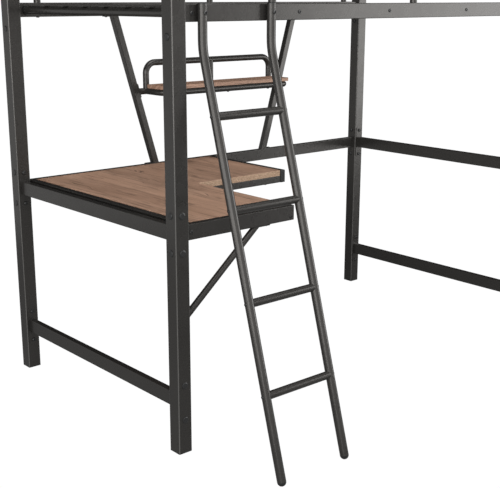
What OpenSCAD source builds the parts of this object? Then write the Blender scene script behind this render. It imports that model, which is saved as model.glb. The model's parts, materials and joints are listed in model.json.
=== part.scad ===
// Loft bed over an L-shaped desk, with a shelf behind it and a leaning ladder in front.
// Origin: on the floor, below the middle of the whole outline, the ladder included.
// +X runs along the bed towards its open end, -Y is the ladder side, +Z is up.

/* [Bed frame] */
// Length over the posts
bed_l = 2009; // [1960:1:2080]
// Width over the posts
bed_w = 1099; // [1060:1:1150]
// Height of the post tubes' top ends
post_top = 1830; // [1826:1:1900]
// Side of the square post tube
post = 54; // [48:1:56]
// Wall of the post tube
post_wall = 1.5; // [1:0.1:2.5]
// Outside corner radius of the post tube
post_corner = 4; // [3:0.5:6]

/* [Rails] */
// Thickness of every flat rail tube
rail_t = 25; // [20:1:30]
// Height of the end, back and desk rails
rail_h = 53; // [48:1:56]
// Height of the two side rails that carry the deck
side_rail_h = 54; // [50:1:60]
// Wall of the rail tubes
rail_wall = 1.5; // [1:0.1:2.5]
// Outside corner radius of the rail tubes
rail_corner = 2.5; // [2:0.5:4]
// Centre height of the bottom end rails
bottom_z = 183; // [140:1:260]
// Centre height of the desk-level rails
desk_z = 763; // [720:1:790]
// Centre height of the side rails
side_z = 1453; // [1440:1:1470]
// Centre height of the lower end guard rails
low_guard_z = 1575; // [1570:1:1580]
// Centre height of the upper end guard rails
high_guard_z = 1745; // [1740:1:1748]

/* [Rail brackets] */
// Thickness of the plate welded to a rail's end
plate_t = 2; // [2:0.5:4]
// Width of that plate
plate_w = 42; // [34:1:44]
// Corner radius of that plate
plate_corner = 12; // [6:1:14]
// Height of a bolt above or below the rail's centre
bolt_rise = 62; // [58:1:66]
// The same on the side rails
side_bolt_rise = 70; // [66:1:74]
// Plate beyond the bolt's centre
plate_end = 14; // [12:1:16]

/* [Desk] */
// Right edge of the desk's back part
desk_right_x = 0; // [-60:1:60]
// Right edge of the desk's front part
desk_front_right_x = -474; // [-500:1:-430]
// Line along which the back part meets the front part
desk_step_y = 20; // [0:1:60]
// Thickness of the desk board
desk_board_t = 24; // [18:1:25]
// Gap between the posts and the desk's own left rail
desk_left_gap = 8; // [4:1:20]
// Gap round the desk board
board_gap = 2.5; // [2:0.5:4]

/* [Brace] */
// Outside diameter of the desk brace
brace_d = 23; // [16:1:24]
// Height at which the brace leaves the post
brace_low_z = 473; // [420:1:520]
// Distance from the post to the brace's top end
brace_run = 310; // [295:1:350]

/* [Shelf] */
// Side of the square tube of the two back diagonals
diagonal_t = 28; // [24:1:29]
// Distance of a diagonal's bottom end from the middle
diagonal_low_x = 320; // [300:1:340]
// Distance of its top end from the middle
diagonal_high_x = 510; // [480:1:540]
// Outside diameter of the shelf and guard tubes
small_tube_d = 27; // [22:1:28]
// Wall of the round tubes
round_wall = 1.5; // [1:0.1:2]
// Centre height of the shelf frame
shelf_z = 1107.5; // [1060:0.5:1140]
// Half the length of the shelf board
shelf_half = 360; // [330:1:365]
// Distance from the rear shelf tube to the front one
shelf_depth = 126; // [110:1:160]
// Bend radius of the shelf frame at its front corners
shelf_bend = 30; // [26:1:40]
// Thickness of the shelf board
shelf_board_t = 16; // [15:1:20]
// Centre height of the shelf guard's top run
shelf_guard_z = 1228; // [1215:1:1260]
// Bend radius of the shelf guard
shelf_guard_bend = 46; // [36:1:50]

/* [Ladder] */
// Centre of the ladder along the bed
ladder_x = -744; // [-760:1:-740]
// Distance between the stile centres
ladder_w = 286.5; // [270:0.5:300]
// Outside diameter of a stile
stile_d = 30; // [28:1:32]
// Outside diameter of a rung
rung_d = 27; // [22:1:28]
// Height of the stiles' top ends
stile_top = 1480; // [1475:1:1490]
// Lean of the ladder from upright, in degrees
lean = 16; // [14:0.1:17]
// Height at which the stiles start to lean
lean_z = 1343; // [1320:1:1350]
// Radius of the bend at that height
stile_bend = 200; // [150:10:250]
// Height of the lowest rung
rung_z = 281.5; // [270:0.5:300]
// Height from one rung to the next
rung_step = 286; // [275:1:288]
// Number of rungs
rung_count = 4; // [3:1:4]

/* [Deck] */
// Outside diameter of the cross bars
cross_bar_d = 30; // [26:1:32]
// Distance between the cross bars
cross_bar_step = 458.5; // [450:0.5:462]
// Width of a lengthwise strip
strip_w = 30; // [24:1:36]
// Thickness of a lengthwise strip
strip_t = 4; // [2:0.5:5]
// Distance between the strips
strip_step = 134; // [120:1:145]
// Gap between a strip's end and the posts' inner faces
strip_end_gap = 6; // [4:1:12]

/* [Guard rails] */
// Centre height of the top run
guard_top_z = 1790; // [1770:1:1815]
// Centre height of the middle run
guard_mid_z = 1640; // [1610:1:1660]
// Bend radius of the top corners
guard_bend = 60; // [50:1:80]
// First leg of the front guard, beside the ladder
front_guard_left_x = -573; // [-580:1:-565]
// Last leg of the front guard
front_guard_right_x = 865; // [840:1:880]
// Distance of the back guard's outer legs from the middle
back_guard_x = 863; // [840:1:880]

/* [Fasteners] */
// Diameter of the frame bolts
bolt_d = 8; // [6:1:8]
// Diameter of the bolt heads and of the nuts on the plates
head_d = 16; // [13:1:18]
// Diameter of the access holes that the plugs close
access_d = 17; // [16:0.5:18]
// Diameter of the plugs' caps
plug_d = 24; // [21:0.5:26]
// Height of the plugs' caps
plug_h = 2.5; // [2:0.5:4]
// Diameter of the small screws
screw_d = 6; // [5:0.5:6]
// Diameter of their heads
screw_head_d = 13; // [11:1:14]
// Height of their heads
screw_head_h = 3; // [2:0.5:4]

/* [Hidden] */
$fn = 48;
tiny = 0.01;
// Clearance between a shank and its hole, on the radius
hole_gap = 0.5;
// Clearance round the thread in a tapped hole, on the radius
thread_gap = 0.1;
// Clearance between a plug's spigot and the tube, on the radius
spigot_gap = 0.2;
// Height of the plastic base under each post
base_h = 3;
// Height of the cap on each post
cap_h = 5;
// Depth of the plugs in the posts and in the stiles' feet
spigot_h = 22;
// Head of the screws in the small plates and in the rungs
small_head_d = 11;
small_head_h = 2.5;
// How far those screws reach past the plate
small_screw_reach = 9;
// Plate beyond the centre of such a screw
small_plate_end = 9;
// Corner radius of the small plates
small_plate_corner = 5;
tapped_d = screw_d + 2 * thread_gap;
clear_d = screw_d + 2 * hole_gap;

post_x = bed_l / 2 - post / 2;
post_y = bed_w / 2 - post / 2;
inner_x = bed_l / 2 - post;
inner_y = bed_w / 2 - post;
rail_in = post_y - rail_t / 2;
rail_out = post_y + rail_t / 2;

stile_y = -(rail_out + stile_d / 2);
bend_top_z = lean_z + stile_bend * tan(lean / 2);
bend_y = stile_y - stile_bend * (1 - cos(lean));
bend_z = bend_top_z - stile_bend * sin(lean);
foot_z = stile_d / 2;
foot_y = bend_y - (bend_z - foot_z) * tan(lean);
stile_run = (bend_z - foot_z) / cos(lean);
// Places the middle of the outline over the origin
bed_y = -(foot_y - stile_d / 2 + bed_w / 2 + plug_h) / 2;

board_top = desk_z + rail_h / 2;
board_base = board_top - desk_board_t;
under_bar_h = rail_h - desk_board_t;
under_bar_z = board_base - under_bar_h / 2;
desk_rail_x = -inner_x + desk_left_gap + rail_t / 2;
desk_board_left = desk_rail_x + rail_t / 2;
desk_board_right = desk_right_x - rail_t;
front_bar_x = desk_front_right_x - rail_t / 2;

side_top = side_z + side_rail_h / 2;
side_base = side_z - side_rail_h / 2;
diagonal_low_z = board_top;
diagonal_angle = atan2(diagonal_high_x - diagonal_low_x, side_base - diagonal_low_z);
tube_r = small_tube_d / 2;
shelf_front_y = post_y - shelf_depth;
shelf_base = shelf_z + tube_r;
cross_bar_z = side_z;
strip_z = cross_bar_z + cross_bar_d / 2;
strip_half = inner_x - strip_end_gap;

// Rails that run along the bed: end of the bed, side, height and bolt rise
X_JOINTS = [
    for (sx = [-1, 1], sy = [-1, 1]) [sx, sy, side_z, side_bolt_rise],
    for (sx = [-1, 1]) [sx, 1, desk_z, bolt_rise],
    [-1, -1, desk_z, bolt_rise]
];
// Rails that run across the bed, at both ends
Y_JOINTS = [
    for (sx = [-1, 1], sy = [-1, 1], z = [bottom_z, desk_z, low_guard_z, high_guard_z])
        [sx, sy, z, bolt_rise]
];
// Deck cross bars along the bed
CROSS_X = [for (i = [-2 : 2]) i * cross_bar_step];
STRIP_Y = [for (i = [-2.5 : 2.5]) i * strip_step];
STILE_X = [ladder_x - ladder_w / 2, ladder_x + ladder_w / 2];
// Distance of each rung from the foot, along the stile
RUNG_S = [for (i = [0 : rung_count - 1]) (rung_z + i * rung_step - foot_z) / cos(lean)];
FRONT_LEGS = [
    front_guard_left_x,
    (front_guard_left_x + front_guard_right_x) / 2,
    front_guard_right_x
];
BACK_LEGS = [-back_guard_x, 0, back_guard_x];
function guard_legs(sy) = sy < 0 ? FRONT_LEGS : BACK_LEGS;

STEEL = "#3d3b39";
WOOD = "#a9846a";
PLASTIC = "#1c1c1c";
SCREW = "#2c2c2c";

// ---- helpers -------------------------------------------------------------------------------

// Everything is drawn about the middle of the bed, then moved to the outline's middle
module in_place() {
    translate([0, bed_y, 0]) children();
}

// Points the children's +Z along a horizontal direction
module facing(direction) {
    rotate([-90 * direction[1], 90 * direction[0], 0]) children();
}

module rounded_rect(w, d, r) {
    square([w - 2 * r, d], center = true);
    square([w, d - 2 * r], center = true);
    for (sx = [-1, 1], sy = [-1, 1])
        translate([sx * (w / 2 - r), sy * (d / 2 - r)]) circle(r);
}

module box_section(w, d, r, wall) {
    difference() {
        rounded_rect(w, d, r);
        rounded_rect(w - 2 * wall, d - 2 * wall, r - wall / 2);
    }
}

module round_section(d, wall) {
    difference() {
        circle(d = d);
        circle(d = d - 2 * wall);
    }
}

// Rail tube along X, from x1 to x2, centred on y and z
module rail_along_x(x1, x2, y, z, h = rail_h) {
    translate([x1, y, z]) rotate([90, 0, 90]) linear_extrude(x2 - x1)
        box_section(rail_t, h, rail_corner, rail_wall);
}

// Rail tube along Y, from y1 to y2, centred on x and z
module rail_along_y(y1, y2, x, z, h = rail_h) {
    translate([x, y2, z]) rotate([90, 0, 0]) linear_extrude(y2 - y1)
        box_section(rail_t, h, rail_corner, rail_wall);
}

// Round tube along X, from x1 to x2
module tube_x(x1, x2, y, z, d) {
    translate([x1, y, z]) rotate([0, 90, 0]) linear_extrude(x2 - x1) round_section(d, round_wall);
}

// Round tube along Z, from z1 to z2
module tube_z(x, y, z1, z2, d) {
    translate([x, y, z1]) linear_extrude(z2 - z1) round_section(d, round_wall);
}

// End plate of a rail: it lies on the post's face and grows along +Z, its height along X
module end_plate(rise) {
    linear_extrude(plate_t) difference() {
        rounded_rect(2 * (rise + plate_end), plate_w, plate_corner);
        for (s = [-1, 1]) translate([s * rise, 0]) circle(d = bolt_d + 2 * hole_gap);
    }
}

// Goes to a joint of a rail along X: +Z leaves the post towards the rail, X is upright
module at_x_joint(j) {
    translate([j[0] * inner_x, j[1] * post_y, j[2]]) rotate([0, -90 * j[0], 0]) children();
}

// The same for a rail along Y
module at_y_joint(j) {
    translate([j[0] * post_x, j[1] * inner_y, j[2]]) rotate([90 * j[1], 0, 0])
        rotate([0, 0, 90]) children();
}

// Goes to every frame bolt: +Z leaves the post through its inner wall
module at_frame_bolts() {
    for (j = X_JOINTS, s = [-1, 1]) at_x_joint(j) translate([s * j[3], 0, 0]) children();
    for (j = Y_JOINTS, s = [-1, 1]) at_y_joint(j) translate([s * j[3], 0, 0]) children();
}

// What a frame bolt takes out of its post: a hole inside and an access hole outside
module post_drilling() {
    translate([0, 0, -2 * post_wall]) cylinder(h = 3 * post_wall, d = bolt_d + 2 * hole_gap);
    translate([0, 0, -post - post_wall]) cylinder(h = 3 * post_wall, d = access_d);
}

// Shares of a head's diameter that its flat top and its hexagon socket take
head_top = 0.72;
head_socket = 0.55;
// Share of a head's height that is left below the socket
socket_floor = 0.35;

// Low domed head, standing on z = 0, with a hexagon socket
module domed_head(d, h, floor = socket_floor) {
    difference() {
        union() {
            cylinder(h = h / 2, d = d);
            translate([0, 0, h / 2]) cylinder(h = h / 2, d1 = d, d2 = d * head_top);
        }
        translate([0, 0, h * floor]) cylinder(h = h, d = d * head_socket, $fn = 6);
    }
}

// Screw with its head on z = 0 and its shank below
module screw(d, length, head, h) {
    domed_head(head, h);
    translate([0, 0, -length]) cylinder(h = length + h * socket_floor / 2, d = d);
}

// Small plate round two screws that are rise away from its middle along X
module small_plate(rise, w, t) {
    linear_extrude(t) difference() {
        rounded_rect(2 * (rise + small_plate_end), w, small_plate_corner);
        for (s = [-1, 1]) translate([s * rise, 0]) circle(d = clear_d);
    }
}

// ---- posts ---------------------------------------------------------------------------------

module post_tube(sx, sy) {
    color(STEEL) in_place() difference() {
        translate([sx * post_x, sy * post_y, base_h]) linear_extrude(post_top - base_h)
            box_section(post, post, post_corner, post_wall);
        for (j = X_JOINTS, s = [-1, 1]) if (j[0] == sx && j[1] == sy)
            at_x_joint(j) translate([s * j[3], 0, 0]) post_drilling();
        for (j = Y_JOINTS, s = [-1, 1]) if (j[0] == sx && j[1] == sy)
            at_y_joint(j) translate([s * j[3], 0, 0]) post_drilling();
        if (sx == -1 && sy == -1) brace_post_hole();
    }
}

module front_left_post() {
    post_tube(-1, -1);
}

module front_right_post() {
    post_tube(1, -1);
}

module back_left_post() {
    post_tube(-1, 1);
}

module back_right_post() {
    post_tube(1, 1);
}

// Square plug with a spigot that goes up (dir = 1) or down (dir = -1) into a post
module post_plug(h, dir) {
    bore = post - 2 * post_wall - 2 * spigot_gap;
    linear_extrude(h) rounded_rect(post, post, post_corner);
    translate([0, 0, dir > 0 ? h - tiny : -spigot_h]) linear_extrude(spigot_h + tiny)
        rounded_rect(bore, bore, post_corner - post_wall / 2);
}

module post_feet() {
    color(PLASTIC) in_place() for (sx = [-1, 1], sy = [-1, 1])
        translate([sx * post_x, sy * post_y, 0]) post_plug(base_h, 1);
}

module post_caps() {
    color(PLASTIC) in_place() for (sx = [-1, 1], sy = [-1, 1])
        translate([sx * post_x, sy * post_y, post_top]) post_plug(cap_h, -1);
}

// ---- rails between the posts ---------------------------------------------------------------

module end_rail(sx, z) {
    color(STEEL) in_place() {
        rail_along_y(-inner_y + plate_t - tiny, inner_y - plate_t + tiny, sx * post_x, z);
        for (sy = [-1, 1]) at_y_joint([sx, sy, z]) end_plate(bolt_rise);
    }
}

module left_bottom_rail() {
    end_rail(-1, bottom_z);
}

module left_desk_rail() {
    end_rail(-1, desk_z);
}

module left_low_guard_rail() {
    end_rail(-1, low_guard_z);
}

module left_top_guard_rail() {
    end_rail(-1, high_guard_z);
}

module right_bottom_rail() {
    end_rail(1, bottom_z);
}

module right_middle_rail() {
    end_rail(1, desk_z);
}

module right_low_guard_rail() {
    end_rail(1, low_guard_z);
}

module right_top_guard_rail() {
    end_rail(1, high_guard_z);
}

module back_middle_rail() {
    color(STEEL) in_place() difference() {
        union() {
            rail_along_x(-inner_x + plate_t - tiny, inner_x - plate_t + tiny, post_y, desk_z);
            for (sx = [-1, 1]) at_x_joint([sx, 1, desk_z]) end_plate(bolt_rise);
        }
        at_desk_frame_screws(1) screw_hole(rail_t);
        at_diagonal_screws(low = true) screw_hole(rail_wall);
    }
}

module side_rail(sy) {
    difference() {
        union() {
            rail_along_x(-inner_x + plate_t - tiny, inner_x - plate_t + tiny, sy * post_y,
                         side_z, side_rail_h);
            for (sx = [-1, 1]) at_x_joint([sx, sy, side_z]) end_plate(side_bolt_rise);
        }
        at_cross_bar_bolts(sy) screw_hole(rail_t);
        at_guard_screws(sy) screw_hole(side_rail_h);
        at_leg_pin(sy) translate([0, 0, -2 * rail_wall])
            cylinder(h = 3 * rail_wall, d = leg_pin_d + 2 * hole_gap);
    }
}

module front_side_rail() {
    color(STEEL) in_place() difference() {
        side_rail(-1);
        at_ladder_bolts() translate([0, 0, -2 * rail_t - stile_d])
            cylinder(h = 2 * rail_t + stile_d, d = bolt_d + 2 * hole_gap);
    }
}

module back_side_rail() {
    color(STEEL) in_place() difference() {
        side_rail(1);
        at_diagonal_screws(low = false) screw_hole(rail_wall);
    }
}

// Clearance hole for a small screw whose head stands on z = 0
module screw_hole(depth) {
    translate([0, 0, -depth - 2 * rail_wall])
        cylinder(h = depth + 4 * rail_wall, d = clear_d);
}

// ---- deck ----------------------------------------------------------------------------------

collar_d = cross_bar_d + 8;
collar_h = 12;
// Depth of the threaded hole in each end of a cross bar, and of the solid end round it
bar_thread = 20;
bar_boss = 24;

// Tubes with a tapped boss in each end
module deck_cross_bars() {
    half = rail_in - spigot_gap;
    inside = half - bar_boss;
    color(STEEL) in_place() difference() {
        for (x = CROSS_X) translate([x, -half, cross_bar_z]) rotate([-90, 0, 0])
            cylinder(h = 2 * half, d = cross_bar_d);
        for (x = CROSS_X) translate([x, -inside, cross_bar_z]) rotate([-90, 0, 0])
            cylinder(h = 2 * inside, d = cross_bar_d - 2 * round_wall);
        for (x = CROSS_X, sy = [-1, 1])
            translate([x, sy * half, cross_bar_z]) rotate([90 * sy, 0, 0])
                translate([0, 0, -tiny]) cylinder(h = bar_thread, d = tapped_d);
        at_rivets() rivet_hole();
    }
}

// Plastic collars that the cross bars' ends sit in
module cross_bar_collars() {
    color(PLASTIC) in_place() for (x = CROSS_X, sy = [-1, 1])
        translate([x, sy * rail_in, cross_bar_z]) rotate([90 * sy, 0, 0])
            linear_extrude(collar_h) difference() {
                circle(d = collar_d);
                circle(d = cross_bar_d + 2 * spigot_gap);
                translate([sy * collar_d, strip_z - cross_bar_z + collar_d / 2])
                    square([4 * collar_d, collar_d], center = true);
            }
}

module at_cross_bar_bolts(sy) {
    for (x = CROSS_X) translate([x, sy * rail_out, cross_bar_z]) facing([0, sy]) children();
}

module cross_bar_bolts() {
    color(SCREW) in_place() for (sy = [-1, 1])
        at_cross_bar_bolts(sy) screw(screw_d, rail_t + bar_thread / 2, screw_head_d, screw_head_h);
}

module deck_strips() {
    color(STEEL) in_place() difference() {
        for (y = STRIP_Y) translate([-strip_half, y - strip_w / 2, strip_z])
            cube([2 * strip_half, strip_w, strip_t]);
        at_rivets() rivet_hole();
    }
}

rivet_d = 5;
rivet_head_d = 10;
// Diameter of the countersink round a rivet's head
rivet_well_d = 11;
// How far the head lies below the strip's top
rivet_sink = 0.1;
// How far a rivet goes into its cross bar
rivet_grip = 8;

// Countersunk rivet: z = 0 is the strip's top
module rivet() {
    translate([0, 0, -strip_t - rivet_grip])
        cylinder(h = strip_t + rivet_grip - rivet_sink, d = rivet_d);
    translate([0, 0, -strip_t / 2])
        cylinder(h = strip_t / 2 - rivet_sink, d1 = rivet_d, d2 = rivet_head_d);
}

// What a rivet takes out of its strip and its cross bar
module rivet_hole() {
    drill_d = rivet_d + 2 * thread_gap;
    translate([0, 0, -strip_t - rivet_grip - tiny])
        cylinder(h = strip_t + rivet_grip + 1, d = drill_d);
    translate([0, 0, -strip_t / 2])
        cylinder(h = strip_t / 2 + tiny, d1 = drill_d, d2 = rivet_well_d);
}

module at_rivets() {
    for (x = [CROSS_X[0], CROSS_X[4]], y = STRIP_Y) translate([x, y, strip_z + strip_t])
        children();
}

module strip_rivets() {
    color(SCREW) in_place() at_rivets() rivet();
}

// ---- guard rails ---------------------------------------------------------------------------

// Bent tube with two legs at x1 and x2 that stand on z1, its top run at z2
module hoop(x1, x2, z1, z2, bend) {
    tube_z(x1, 0, z1, z2 - bend, small_tube_d);
    tube_z(x2, 0, z1, z2 - bend, small_tube_d);
    tube_x(x1 + bend, x2 - bend, 0, z2, small_tube_d);
    translate([x1 + bend, 0, z2 - bend]) rotate([90, 0, 0]) rotate([0, 0, 90])
        rotate_extrude(angle = 90) translate([bend, 0]) round_section(small_tube_d, round_wall);
    translate([x2 - bend, 0, z2 - bend]) rotate([90, 0, 0])
        rotate_extrude(angle = 90) translate([bend, 0]) round_section(small_tube_d, round_wall);
}

// Solid end of a guard leg, and how far a screw goes into it from below
leg_boss = 20;
leg_bite = 15;
// Pin below a middle leg, in a hole of the side rail's top
leg_pin_d = 10;
leg_pin_h = 8;

module leg_end(x) {
    translate([x, 0, side_top]) cylinder(h = leg_boss, d = small_tube_d - round_wall);
}

// The two outer legs stand on the side rail, each held by a screw through the whole rail
module guard_hoop(sy) {
    legs = guard_legs(sy);
    color(STEEL) in_place() difference() {
        translate([0, sy * post_y, 0]) {
            hoop(legs[0], legs[2], side_top, guard_top_z, guard_bend);
            leg_end(legs[0]);
            leg_end(legs[2]);
        }
        at_guard_screws(sy) translate([0, 0, -side_rail_h - leg_bite - 1])
            cylinder(h = leg_bite + 2, d = tapped_d);
    }
}

// Middle leg: it stands on the side rail with a pin and is coped round the top run
module guard_leg(sy) {
    x = guard_legs(sy)[1];
    color(STEEL) in_place() translate([0, sy * post_y, 0]) difference() {
        union() {
            tube_z(x, 0, side_top, guard_top_z, small_tube_d);
            leg_end(x);
            translate([x, 0, side_top - leg_pin_h])
                cylinder(h = leg_pin_h + tiny, d = leg_pin_d);
        }
        translate([x - small_tube_d, 0, guard_top_z]) rotate([0, 90, 0])
            cylinder(h = 2 * small_tube_d, d = small_tube_d);
    }
}

// Two straight tubes at mid height, coped round the legs
module guard_middle_rails(sy) {
    legs = guard_legs(sy);
    color(STEEL) in_place() difference() {
        for (i = [0, 1]) tube_x(legs[i], legs[i + 1], sy * post_y, guard_mid_z, small_tube_d);
        for (x = legs) translate([x, sy * post_y, guard_mid_z - small_tube_d])
            cylinder(h = 2 * small_tube_d, d = small_tube_d);
    }
}

module front_guard_hoop() {
    guard_hoop(-1);
}

module front_guard_leg() {
    guard_leg(-1);
}

module front_guard_middle_rails() {
    guard_middle_rails(-1);
}

module back_guard_hoop() {
    guard_hoop(1);
}

module back_guard_leg() {
    guard_leg(1);
}

module back_guard_middle_rails() {
    guard_middle_rails(1);
}

// Screws from below under the outer legs: +Z points down here
module at_guard_screws(sy) {
    for (i = [0, 2])
        translate([guard_legs(sy)[i], sy * post_y, side_base]) rotate([180, 0, 0]) children();
}

// Place of the middle leg on the side rail's top
module at_leg_pin(sy) {
    translate([guard_legs(sy)[1], sy * post_y, side_top]) children();
}

module guard_screws() {
    color(SCREW) in_place() for (sy = [-1, 1])
        at_guard_screws(sy) screw(screw_d, side_rail_h + leg_bite, screw_head_d, screw_head_h);
}

// ---- desk ----------------------------------------------------------------------------------

module desk_front_rail() {
    color(STEEL) in_place() difference() {
        union() {
            rail_along_x(-inner_x + plate_t - tiny, desk_front_right_x, -post_y, desk_z);
            at_x_joint([-1, -1, desk_z]) end_plate(bolt_rise);
        }
        at_desk_frame_screws(-1) screw_hole(rail_t);
        at_brace_top_bolt() screw_hole(rail_wall);
    }
}

// The desk's own left rail, just inside the posts
module desk_left_rail() {
    color(STEEL) in_place() desk_rail_with_ends(-rail_in, rail_in, desk_rail_x, desk_z, rail_h);
}

module desk_right_rail() {
    color(STEEL) in_place()
        desk_rail_with_ends(desk_step_y, rail_in, desk_right_x - rail_t / 2, desk_z, rail_h);
}

// Bar under the board's step, from the left rail to the right one
module desk_middle_bar() {
    color(STEEL) in_place() difference() {
        rail_along_x(desk_board_left, desk_board_right, desk_step_y + rail_t / 2, under_bar_z,
                     under_bar_h);
        at_desk_board_screws() screw_hole(under_bar_h);
    }
}

// Bar under the right edge of the board's front part
module desk_front_bar() {
    color(STEEL) in_place() difference() {
        desk_rail_with_ends(-rail_in, desk_step_y, front_bar_x, under_bar_z, under_bar_h);
        at_desk_board_screws() screw_hole(under_bar_h);
    }
}

// Thickness of the tapped block in a desk rail's end
end_block = 12;

// Rail along Y: where it meets the front or back rail, a block with a tapped hole closes it
module desk_rail_with_ends(y1, y2, x, z, h) {
    fixed_ends = [for (y = [y1, y2]) if (abs(y) == rail_in) y];
    difference() {
        union() {
            rail_along_y(y1, y2, x, z, h);
            for (y = fixed_ends) translate([x, y - sign(y) * end_block / 2, z])
                cube([rail_t - rail_wall, end_block, h - rail_wall], center = true);
        }
        for (y = fixed_ends) translate([x, y, desk_screw_z(x)]) rotate([90, 0, 0])
            cylinder(h = 3 * end_block, d = tapped_d, center = true);
    }
}

// The short bar's screw sits at the middle of that bar
function desk_screw_z(x) = x == front_bar_x ? under_bar_z : desk_z;

// Screws through the front rail (sy = -1) or the back rail (sy = 1) into the desk's rails
module at_desk_frame_screws(sy) {
    for (x = [desk_rail_x, sy < 0 ? front_bar_x : desk_right_x - rail_t / 2])
        translate([x, sy * rail_out, desk_screw_z(x)]) facing([0, sy]) children();
}

module desk_frame_screws() {
    color(SCREW) in_place() for (sy = [-1, 1])
        at_desk_frame_screws(sy)
            screw(screw_d, rail_t + end_block - 2, screw_head_d, screw_head_h);
}

// Flange, ribs and spigot of the plugs in the desk rails' open ends
plug_flange = 2;
rib_w = 1.6;
rib_h = 0.8;
rib_step = 4.2;
rib_margin = 4;
plug_depth = 14;

// Plug with five upright ribs: it closes a w by h tube and grows along +Z
module ribbed_plug(w, h) {
    shrink = 2 * (rail_wall + spigot_gap);
    linear_extrude(plug_flange) rounded_rect(w, h, rail_corner);
    for (i = [-2 : 2])
        translate([i * rib_step - rib_w / 2, rib_margin - h / 2, plug_flange - tiny])
            cube([rib_w, h - 2 * rib_margin, rib_h]);
    translate([0, 0, -plug_depth]) linear_extrude(plug_depth + tiny)
        rounded_rect(w - shrink, h - shrink, rail_corner - rail_wall / 2);
}

module desk_rail_plugs() {
    color(PLASTIC) in_place() {
        translate([desk_front_right_x, -post_y, desk_z]) rotate([90, 0, 90])
            ribbed_plug(rail_t, rail_h);
        translate([desk_right_x - rail_t / 2, desk_step_y, desk_z]) rotate([90, 0, 0])
            ribbed_plug(rail_t, rail_h);
    }
}

// How far a desk board screw goes into the board
board_bite = 12;
// Drilled depth in the board for it
board_drill = 14;
// Places of the screws along the middle bar, and along the front bar
MIDDLE_BAR_SCREW_X = [-800, -600, -300, -100];
FRONT_BAR_SCREW_Y = [-420, -120];

// L-shaped board: the back part is long, the front part ends at the knee space
module desk_board() {
    y1 = -rail_in + board_gap;
    y2 = rail_in - board_gap;
    x1 = desk_board_left + board_gap;
    x2 = desk_board_right - board_gap;
    color(WOOD) in_place() difference() {
        translate([0, 0, board_base]) linear_extrude(desk_board_t) polygon([
            [x1, y1],
            [desk_front_right_x, y1],
            [desk_front_right_x, desk_step_y],
            [x2, desk_step_y],
            [x2, y2],
            [x1, y2]
        ]);
        at_desk_board_screws() translate([0, 0, -under_bar_h - board_drill])
            cylinder(h = under_bar_h + board_drill, d = tapped_d);
    }
}

// Screws from below through the under bars, heads down: +Z points down here
module at_desk_board_screws() {
    places = [
        for (x = MIDDLE_BAR_SCREW_X) [x, desk_step_y + rail_t / 2],
        for (y = FRONT_BAR_SCREW_Y) [front_bar_x, y]
    ];
    for (p = places)
        translate([p[0], p[1], desk_z - rail_h / 2]) rotate([180, 0, 0]) children();
}

module desk_board_screws() {
    color(SCREW) in_place() at_desk_board_screws()
        screw(screw_d, under_bar_h + board_bite, screw_head_d, screw_head_h);
}

// ---- brace under the desk ------------------------------------------------------------------

// Tabs at the brace's two ends
brace_tab_t = 3;
brace_tab_l = 76;
brace_tab_w = 24;
brace_tab_corner = 8;
// Distance of a tab's middle, and of its bolt, from the tube's centre line
brace_tab_offset = 22;
brace_bolt_offset = 45;
brace_bolt_l = 12;
// Extra length of the tube before it is cut flush
brace_spare = 60;
brace_rise = desk_z - rail_h / 2 - brace_low_z;
brace_tilt = atan2(brace_run, brace_rise);

module brace_tab() {
    linear_extrude(brace_tab_t) rounded_rect(brace_tab_l, brace_tab_w, brace_tab_corner);
}

// Tube from the post's inner face to the front rail's underside, cut off flush at both
module desk_brace() {
    color(STEEL) in_place() {
        intersection() {
            translate([-inner_x, -post_y, brace_low_z]) rotate([0, brace_tilt, 0])
                translate([0, 0, -brace_spare])
                    linear_extrude(norm([brace_run, brace_rise]) + 2 * brace_spare)
                        round_section(brace_d, round_wall);
            translate([-inner_x + brace_tab_t / 2, -post_y - brace_d, brace_low_z - brace_spare])
                cube([brace_run + brace_spare, 2 * brace_d,
                      brace_rise + brace_spare - brace_tab_t / 2]);
        }
        difference() {
            translate([-inner_x, -post_y, brace_low_z - brace_tab_offset]) rotate([0, 90, 0])
                brace_tab();
            at_brace_post_bolt() screw_hole(brace_tab_t);
        }
        difference() {
            translate([-inner_x + brace_run + brace_tab_offset, -post_y,
                       desk_z - rail_h / 2 - brace_tab_t])
                brace_tab();
            at_brace_top_bolt() screw_hole(brace_tab_t);
        }
    }
}

module at_brace_post_bolt() {
    translate([-inner_x + brace_tab_t, -post_y, brace_low_z - brace_bolt_offset])
        facing([1, 0]) children();
}

module at_brace_top_bolt() {
    translate([-inner_x + brace_run + brace_bolt_offset, -post_y,
               desk_z - rail_h / 2 - brace_tab_t])
        rotate([180, 0, 0]) children();
}

module brace_post_hole() {
    at_brace_post_bolt() screw_hole(brace_tab_t);
}

module brace_bolts() {
    color(SCREW) in_place() {
        at_brace_post_bolt() screw(screw_d, brace_bolt_l, screw_head_d, screw_head_h);
        at_brace_top_bolt() screw(screw_d, brace_bolt_l, screw_head_d, screw_head_h);
    }
}

// ---- back diagonals ------------------------------------------------------------------------

// Tabs at the diagonals' ends: thickness, and length outwards and inwards from the centre line
diagonal_tab_t = 3;
diagonal_tab_out = 49;
diagonal_tab_in = 16;
diagonal_screw_x = 38;
// Extra length of the tube at each end before it is cut flush
diagonal_spare = 40;

module diagonal_tab(sx) {
    linear_extrude(diagonal_tab_t) difference() {
        translate([sx * (diagonal_tab_out - diagonal_tab_in) / 2, 0])
            rounded_rect(diagonal_tab_out + diagonal_tab_in, diagonal_t + 1, small_plate_corner);
        translate([sx * diagonal_screw_x, 0]) circle(d = clear_d);
    }
}

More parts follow.
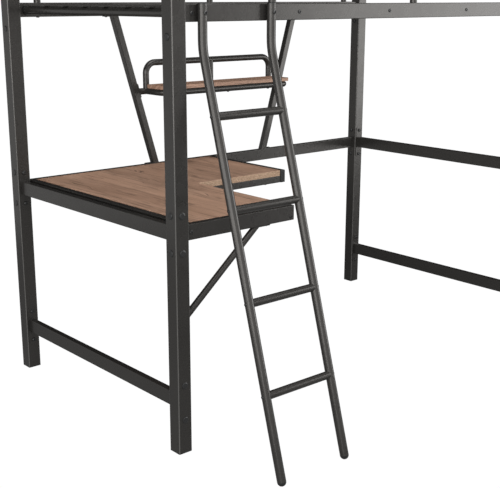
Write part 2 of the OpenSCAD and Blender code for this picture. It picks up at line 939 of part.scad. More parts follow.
// Square tube from the back middle rail up to the back side rail, with a tab at each end
module back_diagonal(sx) {
    low = [sx * diagonal_low_x, post_y, diagonal_low_z];
    high = [sx * diagonal_high_x, post_y, side_base - diagonal_tab_t];
    rise = side_base - diagonal_low_z;
    color(STEEL) in_place() difference() {
        union() {
            intersection() {
                translate(low) rotate([0, sx * diagonal_angle, 0])
                    translate([0, 0, -diagonal_spare])
                        linear_extrude(rise / cos(diagonal_angle) + 2 * diagonal_spare)
                            box_section(diagonal_t, diagonal_t, rail_corner, rail_wall);
                translate([0, post_y, diagonal_low_z + rise / 2])
                    cube([bed_l, 2 * diagonal_t, rise - diagonal_tab_t], center = true);
            }
            for (place = [low, high]) translate(place) diagonal_tab(sx);
        }
        at_shelf_end_screws() screw_hole(diagonal_t / 2);
    }
}

module back_left_diagonal() {
    back_diagonal(-1);
}

module back_right_diagonal() {
    back_diagonal(1);
}

// Screws in the tabs: their heads stand on the tabs
module at_diagonal_screws(low) {
    for (sx = [-1, 1])
        if (low)
            translate([sx * (diagonal_low_x + diagonal_screw_x), post_y,
                       diagonal_low_z + diagonal_tab_t])
                children();
        else
            translate([sx * (diagonal_high_x + diagonal_screw_x), post_y,
                       side_base - diagonal_tab_t])
                rotate([180, 0, 0]) children();
}

module diagonal_screws() {
    color(SCREW) in_place() for (low = [true, false])
        at_diagonal_screws(low)
            screw(screw_d, diagonal_tab_t + small_screw_reach, small_head_d, small_head_h);
}

// ---- shelf ---------------------------------------------------------------------------------

// Where the middle line of a diagonal is at the shelf's height
diagonal_shelf_x = diagonal_low_x + (shelf_z - diagonal_low_z) * tan(diagonal_angle);
shelf_plate_t = 3;
// Distance from the diagonal's middle line to the plate's far side
shelf_plate_x = diagonal_t / 2 + shelf_plate_t;
shelf_screw_rise = 22;
shelf_plate_w = small_tube_d + 1;
// Half the length of the block that cuts the rear tube flush with its plates
shelf_cutter = 150;

// Goes to the middle of a diagonal at the shelf's height: +Z looks at the shelf's middle
module at_shelf_end(sx) {
    translate([sx * diagonal_shelf_x, post_y, shelf_z]) rotate([0, sx * diagonal_angle, 0])
        rotate([0, -90 * sx, 0]) children();
}

// Tube between the diagonals, with a plate on each end
module shelf_rear_tube() {
    color(STEEL) in_place() {
        intersection() {
            tube_x(-diagonal_shelf_x, diagonal_shelf_x, post_y, shelf_z, small_tube_d);
            for (sx = [-1, 1]) at_shelf_end(sx)
                translate([-shelf_cutter, -small_tube_d, diagonal_t / 2 + shelf_plate_t / 2])
                    cube([2 * shelf_cutter, 2 * small_tube_d, 1.5 * diagonal_shelf_x]);
        }
        for (sx = [-1, 1]) at_shelf_end(sx) translate([0, 0, diagonal_t / 2])
            small_plate(shelf_screw_rise, shelf_plate_w, shelf_plate_t);
    }
}

module at_shelf_end_screws() {
    for (sx = [-1, 1], s = [-1, 1]) at_shelf_end(sx)
        translate([s * shelf_screw_rise, 0, shelf_plate_x]) children();
}

module shelf_end_screws() {
    color(SCREW) in_place() at_shelf_end_screws()
        screw(screw_d, shelf_plate_t + small_screw_reach, small_head_d, small_head_h);
}

// Distance from the middle to the centre line of the loop's arms
arm_x = shelf_half - 5;

// Cuts the end of a tube that meets the rear tube to that tube's shape
module rear_tube_cope() {
    translate([-shelf_half, post_y, shelf_z]) rotate([0, 90, 0]) translate([0, 0, -small_tube_d])
        cylinder(h = 2 * (shelf_half + small_tube_d), d = small_tube_d);
}

// U-shaped tube under the board, coped round the rear tube
module shelf_front_loop() {
    color(STEEL) in_place() difference() {
        union() {
            for (sx = [-1, 1]) {
                translate([sx * arm_x, post_y, shelf_z]) rotate([90, 0, 0])
                    linear_extrude(shelf_depth - shelf_bend)
                        round_section(small_tube_d, round_wall);
                translate([sx * (arm_x - shelf_bend), shelf_front_y + shelf_bend, shelf_z])
                    rotate([0, 0, sx > 0 ? -90 : 180])
                        rotate_extrude(angle = 90) translate([shelf_bend, 0])
                            round_section(small_tube_d, round_wall);
            }
            tube_x(-arm_x + shelf_bend, arm_x - shelf_bend, shelf_front_y, shelf_z,
                   small_tube_d);
        }
        rear_tube_cope();
        at_shelf_board_screws() screw_hole(small_tube_d);
    }
}

// Distance of the shelf guard's outer legs from the middle
guard_leg_x = shelf_half - 4;

// Hoop behind the board, coped round the rear tube
module shelf_guard_hoop() {
    color(STEEL) in_place() difference() {
        translate([0, post_y, 0])
            hoop(-guard_leg_x, guard_leg_x, shelf_z, shelf_guard_z, shelf_guard_bend);
        rear_tube_cope();
    }
}

// Upright in the middle of the hoop, coped round the tubes below and above it
module shelf_guard_leg() {
    color(STEEL) in_place() difference() {
        tube_z(0, post_y, shelf_z, shelf_guard_z, small_tube_d);
        rear_tube_cope();
        translate([0, 0, shelf_guard_z - shelf_z]) rear_tube_cope();
    }
}

// How far the board's front edge lies behind the front tube's front
shelf_board_inset = 4;
// Gap between the board and the guard's legs
shelf_board_gap = 0.5;
// Drilled depth in the board for its screws, and how far the screws go in
shelf_drill = 12;
shelf_bite = 10;
SHELF_SCREW_X = [-240, 0, 240];

module shelf_board() {
    y1 = shelf_front_y - tube_r + shelf_board_inset;
    y2 = post_y - tube_r - shelf_board_gap;
    color(WOOD) in_place() difference() {
        translate([-shelf_half, y1, shelf_base]) cube([2 * shelf_half, y2 - y1, shelf_board_t]);
        at_shelf_board_screws() translate([0, 0, -small_tube_d - shelf_drill])
            cylinder(h = small_tube_d + shelf_drill, d = tapped_d);
    }
}

// Screws from below through the front tube
module at_shelf_board_screws() {
    for (x = SHELF_SCREW_X) translate([x, shelf_front_y, shelf_z - tube_r])
        rotate([180, 0, 0]) children();
}

module shelf_board_screws() {
    color(SCREW) in_place() at_shelf_board_screws()
        screw(screw_d, small_tube_d + shelf_bite, small_head_d, small_head_h);
}

// ---- ladder --------------------------------------------------------------------------------

// How far the bend runs into the straight parts of a stile, in degrees
bend_overlap = 0.2;
// How much thinner the bend is than the straight parts
bend_slim = 0.1;
// Segments of a whole turn at the bend's radius
bend_fn = 200;
// How far the ladder's bolts go past the side rail
ladder_nut_h = 7;

// Goes to the foot of the ladder: +Z runs up the stile
module along_stile(x) {
    translate([x, foot_y, foot_z]) rotate([-lean, 0, 0]) children();
}

// Straight run from the foot, then a bend, then an upright run on the side rail's face.
// The bend is a hair thinner and runs a little way into both straight runs.
module stile(x) {
    color(STEEL) in_place() difference() {
        union() {
            along_stile(x) linear_extrude(stile_run) round_section(stile_d, round_wall);
            tube_z(x, stile_y, bend_top_z, stile_top, stile_d);
            translate([x, stile_y - stile_bend, bend_top_z]) rotate([-90, 0, 90])
                rotate([0, 0, -bend_overlap])
                    rotate_extrude(angle = lean + 2 * bend_overlap, $fn = bend_fn)
                        translate([stile_bend, 0])
                            round_section(stile_d - bend_slim, round_wall, $fn = 48);
        }
        for (s = RUNG_S) along_stile(x) translate([-stile_d, 0, s]) rotate([0, 90, 0])
            cylinder(h = 2 * stile_d, d = clear_d);
        at_ladder_bolts() translate([0, 0, -1.5 * stile_d])
            cylinder(h = 2 * stile_d, d = bolt_d + 2 * hole_gap);
    }
}

module ladder_left_stile() {
    stile(STILE_X[0]);
}

module ladder_right_stile() {
    stile(STILE_X[1]);
}

// Length of the tapped boss in a rung's end, and how far a screw goes into it
rung_boss = 12;
rung_bite = 9;

// Rungs: tubes with a tapped boss in each end, coped round the stiles
module ladder_rungs() {
    half = ladder_w / 2;
    inside = half - stile_d / 2 - rung_boss;
    color(STEEL) in_place() for (s = RUNG_S) along_stile(ladder_x) translate([0, 0, s])
        difference() {
            translate([-half, 0, 0]) rotate([0, 90, 0]) cylinder(h = 2 * half, d = rung_d);
            translate([-inside, 0, 0]) rotate([0, 90, 0])
                cylinder(h = 2 * inside, d = rung_d - 2 * round_wall);
            translate([-half, 0, 0]) rotate([0, 90, 0]) cylinder(h = 2 * half, d = tapped_d);
            for (sx = [-1, 1]) translate([sx * half, 0, -rung_d])
                cylinder(h = 2 * rung_d, d = stile_d);
        }
}

module rung_screws() {
    color(SCREW) in_place() for (s = RUNG_S, sx = [-1, 1])
        along_stile(ladder_x + sx * ladder_w / 2) translate([sx * stile_d / 2, 0, s])
            facing([sx, 0]) screw(screw_d, stile_d + rung_bite, small_head_d, screw_head_h);
}

// Rounded feet plugged into the stiles
module ladder_feet() {
    color(PLASTIC) in_place() for (x = STILE_X) {
        difference() {
            along_stile(x) sphere(d = stile_d);
            along_stile(x) translate([-stile_d, -stile_d, 0]) cube(2 * stile_d);
        }
        along_stile(x) translate([0, 0, -tiny])
            cylinder(h = spigot_h, d = stile_d - 2 * round_wall - 2 * spigot_gap);
    }
}

// Rim, chamfer and spigot of the caps on the stiles
stile_cap_rim = 2;
stile_cap_chamfer = 1.5;
stile_cap_top_d = stile_d - 6;
stile_cap_spigot_h = 10;
stile_cap_spigot_d = stile_d - 2 * round_wall - 2 * spigot_gap;

module ladder_caps() {
    color(PLASTIC) in_place() for (x = STILE_X) translate([x, stile_y, stile_top]) {
        cylinder(h = stile_cap_rim, d = stile_d);
        translate([0, 0, stile_cap_rim - tiny])
            cylinder(h = stile_cap_chamfer, d1 = stile_d, d2 = stile_cap_top_d);
        translate([0, 0, -stile_cap_spigot_h])
            cylinder(h = stile_cap_spigot_h + tiny, d = stile_cap_spigot_d);
    }
}

// Bolts through the stiles and the front side rail: +Z points out of the ladder's front
module at_ladder_bolts() {
    for (x = STILE_X) translate([x, stile_y - stile_d / 2, side_z]) facing([0, -1]) children();
}

// The bolts' heads are in front of the stiles, their nuts are behind the side rail
module ladder_bolts() {
    grip = stile_d + rail_t;
    color(SCREW) in_place() at_ladder_bolts() {
        screw(bolt_d, grip + ladder_nut_h, screw_head_d, bolt_head_h);
        translate([0, 0, -grip - ladder_nut_h])
            cylinder(h = ladder_nut_h, d = screw_head_d, $fn = 6);
    }
}

// ---- frame bolts ---------------------------------------------------------------------------

bolt_head_h = 4;
// Head of the bolts inside the posts, and its hexagon socket
inner_head_d = 14;
inner_socket_d = 6;
inner_socket_h = 2;
// Height of the domed nuts, and the share of it that their thread takes
nut_h = 7;
nut_thread = 0.5;
// Share of a nut's height that is left below its socket
nut_floor = 0.6;

// Bolts whose heads are inside the posts
module frame_bolts() {
    color(SCREW) in_place() at_frame_bolts() {
        translate([0, 0, -post_wall - bolt_head_h]) difference() {
            cylinder(h = bolt_head_h, d = inner_head_d);
            translate([0, 0, -tiny]) cylinder(h = inner_socket_h, d = inner_socket_d, $fn = 6);
        }
        translate([0, 0, -post_wall - tiny])
            cylinder(h = post_wall + plate_t + nut_h * nut_thread - tiny, d = bolt_d);
    }
}

// Domed sleeve nuts on the plates
module frame_nuts() {
    color(SCREW) in_place() at_frame_bolts() translate([0, 0, plate_t]) difference() {
        domed_head(head_d, nut_h, nut_floor);
        translate([0, 0, -tiny])
            cylinder(h = nut_h * nut_thread + tiny, d = bolt_d + 2 * thread_gap);
    }
}

// Flat top of the access hole plugs, and the depth of their spigots
plug_top_d = plug_d - 6;
plug_spigot_h = 8;

// Plastic plugs in the access holes of the posts' outer faces
module access_hole_plugs() {
    color(PLASTIC) in_place() at_frame_bolts() translate([0, 0, -post]) {
        translate([0, 0, -plug_h / 2]) cylinder(h = plug_h / 2, d = plug_d);
        translate([0, 0, -plug_h])
            cylinder(h = plug_h / 2 + tiny, d1 = plug_top_d, d2 = plug_d);
        translate([0, 0, -tiny]) cylinder(h = plug_spigot_h, d = access_d - 2 * spigot_gap);
    }
}

// ---- nodes ---------------------------------------------------------------------------------

front_left_post();
front_right_post();
back_left_post();
back_right_post();
post_feet();
post_caps();
left_bottom_rail();
left_desk_rail();
left_low_guard_rail();
left_top_guard_rail();
right_bottom_rail();
right_middle_rail();
right_low_guard_rail();
right_top_guard_rail();
back_middle_rail();
front_side_rail();
back_side_rail();
deck_cross_bars();
cross_bar_collars();
deck_strips();
strip_rivets();
front_guard_hoop();
front_guard_middle_rails();
front_guard_leg();
back_guard_hoop();
back_guard_middle_rails();
back_guard_leg();
guard_screws();
desk_front_rail();
desk_left_rail();
desk_right_rail();
desk_middle_bar();
desk_front_bar();
desk_rail_plugs();
desk_board();
desk_frame_screws();
desk_board_screws();
desk_brace();
brace_bolts();
back_left_diagonal();
back_right_diagonal();
diagonal_screws();
shelf_rear_tube();
shelf_front_loop();
shelf_guard_hoop();
shelf_guard_leg();
shelf_board();
shelf_board_screws();
shelf_end_screws();
ladder_left_stile();
ladder_right_stile();
ladder_rungs();
rung_screws();
ladder_feet();
ladder_caps();
ladder_bolts();
frame_bolts();
frame_nuts();
access_hole_plugs();
cross_bar_bolts();
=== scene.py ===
"""Looks of the loft bed with desk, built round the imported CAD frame. Metres, +Z up."""

import json
import math

import bpy
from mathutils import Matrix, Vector


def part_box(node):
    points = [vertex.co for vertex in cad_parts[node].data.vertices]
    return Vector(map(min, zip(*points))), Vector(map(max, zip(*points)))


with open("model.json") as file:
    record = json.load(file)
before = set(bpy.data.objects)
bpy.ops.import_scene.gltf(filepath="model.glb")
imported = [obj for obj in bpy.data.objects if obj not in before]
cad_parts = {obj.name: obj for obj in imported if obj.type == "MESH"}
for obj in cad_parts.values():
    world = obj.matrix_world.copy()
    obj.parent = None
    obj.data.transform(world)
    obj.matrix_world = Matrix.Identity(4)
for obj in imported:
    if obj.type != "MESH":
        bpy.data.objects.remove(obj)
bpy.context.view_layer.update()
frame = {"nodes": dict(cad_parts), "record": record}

NODES = frame["nodes"]
SLOT_OF = {part["node"]: part["material_slot"] for part in frame["record"]["subparts"]}
MM = 0.001

# ---- shader helpers ---------------------------------------------------------------------------


class Shader:
    """A material's node tree, with short calls that add a node and link its inputs."""

    def __init__(self, name):
        self.material = bpy.data.materials.new(name)
        self.material.use_nodes = True
        self.tree = self.material.node_tree
        self.surface = self.tree.nodes["Principled BSDF"]
        coordinates = self.tree.nodes.new("ShaderNodeTexCoord")
        self.place = coordinates.outputs["Object"]
        geometry = self.tree.nodes.new("ShaderNodeNewGeometry")
        self.normal = geometry.outputs["Normal"]

    def node(self, kind, inputs=(), **settings):
        made = self.tree.nodes.new("ShaderNode" + kind)
        for key, value in settings.items():
            setattr(made, key, value)
        for key, value in dict(inputs).items():
            if isinstance(value, bpy.types.NodeSocket):
                self.tree.links.new(value, made.inputs[key])
            else:
                made.inputs[key].default_value = value
        return made

    def math(self, operation, *values):
        made = self.node("Math", dict(enumerate(values)), operation=operation)
        return made.outputs[0]

    def vector(self, operation, *values):
        made = self.node("VectorMath", dict(enumerate(values)), operation=operation)
        return made.outputs[0]

    def dot(self, a, b):
        made = self.node("VectorMath", {0: a, 1: b}, operation="DOT_PRODUCT")
        return made.outputs["Value"]

    def split(self, vector):
        made = self.node("SeparateXYZ", {0: vector})
        return made.outputs[0], made.outputs[1], made.outputs[2]

    def join(self, x, y, z):
        return self.node("CombineXYZ", {0: x, 1: y, 2: z}).outputs[0]

    def noise(self, place, scale, detail=3.0, roughness=0.5):
        inputs = {
            "Vector": place,
            "Scale": scale,
            "Detail": detail,
            "Roughness": roughness,
        }
        return self.node("TexNoise", inputs).outputs["Fac"]

    def range(self, value, low, high, to_low=0.0, to_high=1.0, smooth=True):
        kind = "SMOOTHSTEP" if smooth else "LINEAR"
        inputs = {
            "Value": value,
            "From Min": low,
            "From Max": high,
            "To Min": to_low,
            "To Max": to_high,
        }
        return self.node("MapRange", inputs, interpolation_type=kind).outputs[0]

    def mix(self, factor, a, b, blend="MIX"):
        made = self.node("Mix", data_type="RGBA", blend_type=blend)
        for socket, value in ((made.inputs[0], factor), (made.inputs[6], a), (made.inputs[7], b)):
            if isinstance(value, bpy.types.NodeSocket):
                self.tree.links.new(value, socket)
            else:
                socket.default_value = value
        return made.outputs[2]

    def ramp(self, factor, stops):
        made = self.node("ValToRGB", {"Fac": factor})
        elements = made.color_ramp.elements
        while len(elements) < len(stops):
            elements.new(0.5)
        for element, (at, colour) in zip(elements, stops):
            element.position = at
            element.color = colour
        return made.outputs[0]

    def bump(self, height, strength, distance):
        inputs = {"Height": height, "Strength": strength, "Distance": distance}
        return self.node("Bump", inputs).outputs[0]

    def worn_edges(self, radius, low, high):
        """1 close to an edge or a corner, 0 further from it than the radius."""
        rounded = self.node("Bevel", {"Radius": radius}, samples=4).outputs[0]
        return self.range(self.dot(rounded, self.normal), low, high, 1.0, 0.0)

    def finish(self, **sockets):
        for name, value in sockets.items():
            socket = self.surface.inputs[name.replace("_", " ")]
            if isinstance(value, bpy.types.NodeSocket):
                self.tree.links.new(value, socket)
            else:
                socket.default_value = value
        return self.material


def grey(value):
    return (value, value, value, 1.0)


# ---- materials --------------------------------------------------------------------------------
# Noise scales are features per metre: 900 gives specks of about a millimetre

COAT_DARK = (0.0175, 0.0165, 0.0152, 1.0)
COAT_LIGHT = (0.0240, 0.0226, 0.0210, 1.0)
COAT_SPECK = (0.034, 0.032, 0.030, 1.0)
# Paler coat on the edges: partly worn thin, partly a painted edge highlight
COAT_WORN_AND_HIGHLIGHT = (0.060, 0.058, 0.056, 1.0)
# Pale coat colour painted on the upright corners of the posts as a highlight
COAT_CORNER_HIGHLIGHT = (0.095, 0.092, 0.088, 1.0)
COAT_GLOSS_TINT = (1.0, 0.965, 0.925, 1.0)
PLASTIC_EDGE = 0.035
FASTENER_DARK = 0.014
FASTENER_LIGHT = 0.024
FASTENER_BARE = 0.08
# Width of the printed planks, and a shift that keeps every plank's number positive
PLANK_W = 0.118
PLANK_SHIFT = 5.03
# Half the width of the dark seam between two planks, as a share of a plank's width
SEAM_HALF = 0.009
# Thickness of the printed skin above a raw edge
SKIN_T = 0.7 * MM
PRINT_STOPS = [
    (0.00, (0.205, 0.120, 0.080, 1.0)),
    (0.35, (0.272, 0.168, 0.118, 1.0)),
    (0.62, (0.318, 0.201, 0.143, 1.0)),
    (1.00, (0.372, 0.245, 0.180, 1.0)),
]
PRINT_KNOT = (0.150, 0.082, 0.052, 1.0)
PRINT_HEART = (0.060, 0.030, 0.020, 1.0)
PRINT_PORE = (0.110, 0.062, 0.042, 1.0)
PRINT_CRACK = (0.058, 0.032, 0.022, 1.0)
PRINT_SEAM = (0.075, 0.042, 0.030, 1.0)
RAW_STOPS = [
    (0.08, (0.170, 0.098, 0.060, 1.0)),
    (0.35, (0.370, 0.240, 0.155, 1.0)),
    (0.70, (0.500, 0.345, 0.235, 1.0)),
    (1.00, (0.600, 0.440, 0.320, 1.0)),
]
DESK_TINT = (1.47, 1.43, 1.38)
SHELF_TINT = (1.18, 1.12, 1.08)


def powder_coat(name, painted_corner_highlight=False):
    """Charcoal powder coat: satin, a fine orange peel, paler on the edges, where it is partly
    worn a little thinner and partly painted with a highlight.

    The corner flag also paints a pale highlight on the coat along the upright corners of a square
    tube.
    """
    s = Shader(name)
    cloud = s.noise(s.place, 7.0, detail=4.0)
    speckle = s.noise(s.place, 900.0, detail=2.0)
    base = s.mix(cloud, COAT_DARK, COAT_LIGHT)
    base = s.mix(s.range(speckle, 0.45, 0.75), base, COAT_SPECK)
    # Paler edges, partly rubbed thin coat and partly a painted highlight where the edges would
    # catch the lamps
    pale_edge_mask = s.math("MULTIPLY", s.worn_edges(1.6 * MM, 0.90, 0.995), s.noise(s.place, 60.0))
    base = s.mix(s.math("MULTIPLY", pale_edge_mask, 0.8), base, COAT_WORN_AND_HIGHLIGHT)
    if painted_corner_highlight:
        # Painted highlight: the coat turns paler where the normal points between X and Y, on the
        # upright corners
        normal_x, normal_y, _ = s.split(s.normal)
        corner_highlight_mask = s.math("ABSOLUTE", s.math("MULTIPLY", normal_x, normal_y))
        base = s.mix(s.range(corner_highlight_mask, 0.15, 0.42), base, COAT_CORNER_HIGHLIGHT)
    rough = s.range(s.noise(s.place, 22.0, detail=5.0), 0.3, 0.7, 0.26, 0.30)
    peel = s.noise(s.place, 650.0, detail=1.0, roughness=0.4)
    wave = s.noise(s.place, 160.0, detail=0.0)
    height = s.math("ADD", s.math("MULTIPLY", peel, 0.5), wave)
    normal = s.bump(height, 0.12, 0.04 * MM)
    return s.finish(
        Base_Color=base, Roughness=rough, Normal=normal, IOR=1.5, Specular_Tint=COAT_GLOSS_TINT
    )


def moulded_plastic(name, dark, light):
    """Moulded plastic with a fine spark-eroded grain."""
    s = Shader(name)
    grain = s.noise(s.place, 1400.0, detail=2.0)
    cloud = s.noise(s.place, 30.0, detail=3.0)
    base = s.mix(cloud, grey(dark), grey(light))
    pale_edge_mask = s.math("MULTIPLY", s.worn_edges(0.8 * MM, 0.92, 0.995), 0.5)
    base = s.mix(pale_edge_mask, base, grey(PLASTIC_EDGE))
    rough = s.range(grain, 0.3, 0.7, 0.32, 0.42)
    normal = s.bump(grain, 0.35, 0.05 * MM)
    return s.finish(Base_Color=base, Roughness=rough, Normal=normal)


def black_fastener():
    """Black-coated screws and nuts, with bare metal just showing on their edges."""
    s = Shader("black_fastener")
    cloud = s.noise(s.place, 250.0, detail=3.0)
    base = s.mix(cloud, grey(FASTENER_DARK), grey(FASTENER_LIGHT))
    bare = s.math("MULTIPLY", s.worn_edges(0.5 * MM, 0.88, 0.99), s.noise(s.place, 400.0))
    base = s.mix(bare, base, grey(FASTENER_BARE))
    rough = s.range(cloud, 0.3, 0.7, 0.26, 0.40)
    normal = s.bump(s.noise(s.place, 1800.0), 0.2, 0.03 * MM)
    return s.finish(Base_Color=base, Roughness=rough, Normal=normal)


def board(name, along_x, raw_faces, top, tint):
    """Rustic wood-grain laminate on particle board.

    along_x says that the grain runs along X, or else along Y. raw_faces are (normal, offset) of
    the edges where the particle board shows, top is the height of the board's top face, and
    tint multiplies the colours of the print.
    """
    s = Shader(name)
    x, y, z = s.split(s.place)
    along, across = (x, y) if along_x else (y, x)
    across = s.math("ADD", across, z)

    # Planks in the print: each has its own stretch of grain and its own tone
    planks = s.math("DIVIDE", s.math("ADD", across, PLANK_SHIFT), PLANK_W)
    plank = s.math("FLOOR", planks)
    seed = s.node("TexWhiteNoise", {"W": plank}, noise_dimensions="1D").outputs["Value"]
    shifted = s.math("ADD", along, s.math("MULTIPLY", seed, 7.0))
    lane = s.math("FRACT", planks)
    from_seam = s.math("MINIMUM", lane, s.math("SUBTRACT", 1.0, lane))
    seam = s.math("LESS_THAN", from_seam, SEAM_HALF)

    # The grain wanders, and it flows round the knots
    flat = s.join(shifted, across, s.math("MULTIPLY", plank, 0.37))
    wander = s.noise(s.vector("MULTIPLY", flat, (2.2, 7.0, 1.0)), 1.0, detail=3.0)
    knots = s.node(
        "TexVoronoi",
        {"Vector": s.vector("MULTIPLY", flat, (1.0, 3.1, 1.0)), "Scale": 3.4, "Randomness": 0.9},
        feature="SMOOTH_F1",
    )
    knots.inputs["Smoothness"].default_value = 0.4
    near = s.range(knots.outputs["Distance"], 0.06, 0.42, 1.0, 0.0)
    bend = s.math("ADD", s.math("MULTIPLY", wander, 0.055), s.math("MULTIPLY", near, 0.030))
    bent = s.math("ADD", across, bend)

    def streaks(per_metre_along, per_metre_across, **look):
        far = s.math("MULTIPLY", shifted, per_metre_along)
        aside = s.math("MULTIPLY", bent, per_metre_across)
        return s.noise(s.join(far, aside, seed), 1.0, **look)

    rings = streaks(1.3, 62.0, detail=5.0, roughness=0.62)
    fibre = streaks(9.0, 620.0, detail=3.0, roughness=0.6)
    pores = s.range(streaks(26.0, 900.0, detail=1.0), 0.62, 0.74)
    cracks = s.range(streaks(6.0, 170.0, detail=2.0, roughness=0.4), 0.62, 0.68)

    wood = s.ramp(s.range(rings, 0.26, 0.74, smooth=False), PRINT_STOPS)
    tone = s.range(seed, 0.0, 1.0, 0.96, 1.06, smooth=False)
    patch = s.range(s.noise(flat, 3.0, detail=3.0), 0.3, 0.7, 0.90, 1.10)
    shade = s.math("MULTIPLY", tone, patch)
    shade = s.math("MULTIPLY", shade, s.range(fibre, 0.25, 0.75, 0.90, 1.08))
    toned = s.vector("MULTIPLY", s.join(shade, shade, shade), tint)
    wood = s.mix(1.0, wood, toned, blend="MULTIPLY")
    heart = s.range(knots.outputs["Distance"], 0.02, 0.10, 1.0, 0.0)
    for mark, amount, colour in (
        (near, 0.22, PRINT_KNOT),
        (heart, 0.70, PRINT_HEART),
        (pores, 0.45, PRINT_PORE),
        (cracks, 0.80, PRINT_CRACK),
        (seam, 0.65, PRINT_SEAM),
    ):
        wood = s.mix(s.math("MULTIPLY", mark, amount), wood, colour)

    # Raw particle board where the edge was cut: chips of pale and dark wood
    flat_chips = s.vector("MULTIPLY", s.place, (1.0, 1.0, 2.2))
    chip = s.node("TexVoronoi", {"Vector": flat_chips, "Scale": 260.0, "Randomness": 1.0})
    chip_tone = s.split(chip.outputs["Color"])[0]
    fine = s.noise(s.place, 700.0, detail=3.0)
    chip_mix = s.math("ADD", s.math("MULTIPLY", chip_tone, 0.7), s.math("MULTIPLY", fine, 0.3))
    raw = s.ramp(chip_mix, RAW_STOPS)
    bare = None
    for normal, offset in raw_faces:
        facing = s.math("GREATER_THAN", s.dot(s.normal, normal), 0.9)
        level = s.math("SUBTRACT", s.dot(s.place, normal), offset)
        on_face = s.math("LESS_THAN", s.math("ABSOLUTE", level), 1.0 * MM)
        found = s.math("MULTIPLY", facing, on_face)
        bare = found if bare is None else s.math("MAXIMUM", bare, found)
    below_skin = s.math("LESS_THAN", z, top - SKIN_T)
    bare = s.math("MULTIPLY", bare, below_skin)

    colour = s.mix(bare, wood, raw)
    rough = s.range(rings, 0.3, 0.7, 0.50, 0.60)
    rough = s.math("ADD", rough, s.math("MULTIPLY", bare, 0.3))
    relief = s.math("MULTIPLY", fibre, 0.35)
    for groove, depth in ((pores, 0.5), (cracks, 0.9), (seam, 0.8)):
        relief = s.math("SUBTRACT", relief, s.math("MULTIPLY", groove, depth))
    rugged = s.math("MULTIPLY", s.math("ADD", chip_tone, fine), 2.0)
    relief = s.math("ADD", relief, s.math("MULTIPLY", bare, rugged))
    normal = s.bump(relief, 0.5, 0.12 * MM)
    return s.finish(Base_Color=colour, Roughness=rough, Normal=normal)


def dress(materials):
    for name, node in NODES.items():
        node.data.materials.clear()
        node.data.materials.append(materials.get(name) or materials[SLOT_OF[name]])


_, desk_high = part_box("desk_board")
_, shelf_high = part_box("shelf_board")
# The desk's front bar ends at the inner corner of the L, where the board's two raw edges meet
_, inner_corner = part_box("desk_front_bar")
# The posts' coat has a painted highlight along its upright corners
post_coat_painted_highlight = powder_coat("post_powder_coat_painted_highlight", painted_corner_highlight=True)
dress(
    {
        "frame_steel": powder_coat("powder_coat"),
        "front_left_post": post_coat_painted_highlight,
        "front_right_post": post_coat_painted_highlight,
        "back_left_post": post_coat_painted_highlight,
        "back_right_post": post_coat_painted_highlight,
        "black_plastic": moulded_plastic("black_plastic", 0.010, 0.016),
        "access_hole_plugs": moulded_plastic("charcoal_plastic", 0.014, 0.020),
        "fastener_steel": black_fastener(),
        "desk_board": board(
            "desk_wood",
            along_x=False,
            raw_faces=[((0.0, -1.0, 0.0), -inner_corner.y), ((1.0, 0.0, 0.0), inner_corner.x)],
            top=desk_high.z,
            tint=DESK_TINT,
        ),
        "shelf_board": board(
            "shelf_wood",
            along_x=True,
            raw_faces=[((1.0, 0.0, 0.0), shelf_high.x)],
            top=shelf_high.z,
            tint=SHELF_TINT,
        ),
    }
)

# ---- camera -----------------------------------------------------------------------------------

# The camera stands 2.94 m in front of the middle of the four posts
front_post_low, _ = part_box("front_left_post")
_, back_post_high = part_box("back_left_post")
POSTS_Y = (front_post_low.y + back_post_high.y) / 2
CAMERA_AT = Vector((-2.7708, POSTS_Y - 2.9404, 1.4973))
CAMERA_LOOK = Vector((0.62843, 0.73403, -0.25742))
SENSOR_W = 36.0
LENS = 69.04
SHIFT = (0.0148, 0.0189)
CLIP = (0.05, 3000.0)

camera_data = bpy.data.cameras.new("camera")
camera = bpy.data.objects.new("camera", camera_data)
camera_data.sensor_width = SENSOR_W
camera_data.lens = LENS
camera_data.shift_x, camera_data.shift_y = SHIFT
camera_data.clip_start, camera_data.clip_end = CLIP
camera.location = CAMERA_AT
camera.rotation_euler = CAMERA_LOOK.to_track_quat("-Z", "Y").to_euler()
bpy.context.scene.collection.objects.link(camera)
bpy.context.scene.camera = camera

# ---- studio -----------------------------------------------------------------------------------

# How far the floor reaches from the middle, and its glow in front and at the back
FLOOR_REACH = 900.0
GLOW_FRONT = 0.30
GLOW_BACK = 0.02
# The glow fades where y + FADE_TURN * x goes from FADE_FROM to FADE_TO
FADE_TURN = 0.6
FADE_FROM = -0.8
FADE_TO = 3.2
WORLD_LEVEL = 0.012
# Radiance of what the camera itself sees of the floor and the world
BACKDROP = 1.02
# Name, place, the point it faces, width and height, radiance
SOFTBOXES = [
    ("right_key", (5.1, -3.3, 1.7), (0.0, 0.2, 0.9), (4.4, 3.8), 4.15),
    ("front_fill", (-1.4, -6.6, 2.5), (-0.2, 0.0, 0.9), (9.6, 4.2), 1.35),
    ("left_wall", (-6.4, -2.7, 1.9), (-0.9, -0.6, 1.0), (7.6, 3.4), 4.3),
    ("left_back", (-2.3, 2.6, 0.95), (-0.7, 0.2, 0.9), (3.4, 1.9), 0.5),
    ("overhead", (-0.3, -1.2, 4.6), (-0.2, 0.1, 0.8), (4.4, 3.6), 3.4),
]


def white_to_camera(tree, dim, bright):
    """Mix two shaders so that only the camera's own rays see the bright one."""
    ray = tree.nodes.new("ShaderNodeLightPath").outputs["Is Camera Ray"]
    mixed = tree.nodes.new("ShaderNodeMixShader")
    tree.links.new(ray, mixed.inputs[0])
    tree.links.new(dim, mixed.inputs[1])
    tree.links.new(bright, mixed.inputs[2])
    return mixed.outputs[0]


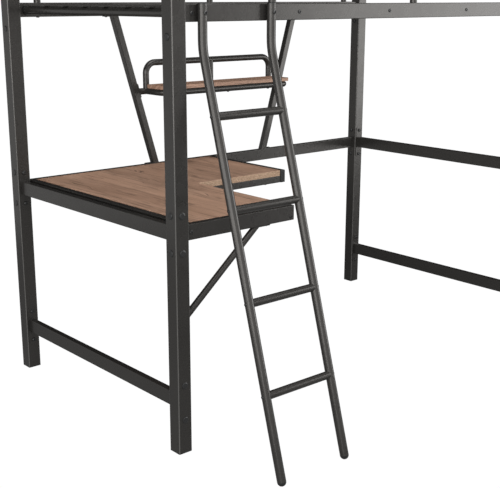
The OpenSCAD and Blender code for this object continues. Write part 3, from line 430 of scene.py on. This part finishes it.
def studio_floor(reach, glow_front, glow_back):
    """Pale floor. Its soft glow is stronger in front and on the left than behind the bed."""
    mesh = bpy.data.meshes.new("floor")
    corners = [(-reach, -reach, 0), (reach, -reach, 0), (reach, reach, 0), (-reach, reach, 0)]
    mesh.from_pydata(corners, [], [(0, 1, 2, 3)])
    floor = bpy.data.objects.new("floor", mesh)
    bpy.context.scene.collection.objects.link(floor)
    s = Shader("pale_floor")
    x, y, _ = s.split(s.place)
    behind = s.range(s.math("ADD", y, s.math("MULTIPLY", x, FADE_TURN)), FADE_FROM, FADE_TO)
    glow = s.range(behind, 0.0, 1.0, glow_front, glow_back, smooth=False)
    dim = s.node("Emission", {"Color": grey(1.0), "Strength": glow}).outputs[0]
    bright = s.node("Emission", {"Color": grey(1.0), "Strength": BACKDROP}).outputs[0]
    shown = white_to_camera(s.tree, dim, bright)
    s.tree.links.new(shown, s.tree.nodes["Material Output"].inputs["Surface"])
    s.material.cycles.emission_sampling = "NONE"
    mesh.materials.append(s.material)


def softbox(name, at, aim, size, radiance):
    """Rectangular lamp that shines evenly with the given radiance and stays out of view."""
    light = bpy.data.lights.new(name, "AREA")
    light.shape = "RECTANGLE"
    light.size, light.size_y = size
    light.energy = radiance * math.pi * size[0] * size[1]
    lamp = bpy.data.objects.new(name, light)
    lamp.location = at
    lamp.rotation_euler = (Vector(aim) - Vector(at)).to_track_quat("-Z", "Y").to_euler()
    lamp.visible_camera = False
    bpy.context.scene.collection.objects.link(lamp)


def studio_world(level):
    world = bpy.data.worlds.new("studio")
    bpy.context.scene.world = world
    world.use_nodes = True
    tree = world.node_tree
    shaders = []
    for strength in (level, BACKDROP):
        background = tree.nodes.new("ShaderNodeBackground")
        background.inputs["Color"].default_value = grey(1.0)
        background.inputs["Strength"].default_value = strength
        shaders.append(background.outputs[0])
    shown = white_to_camera(tree, *shaders)
    tree.links.new(shown, tree.nodes["World Output"].inputs["Surface"])


studio_floor(FLOOR_REACH, GLOW_FRONT, GLOW_BACK)
studio_world(WORLD_LEVEL)
for softbox_row in SOFTBOXES:
    softbox(*softbox_row)

bpy.context.scene.view_settings.view_transform = "Standard"
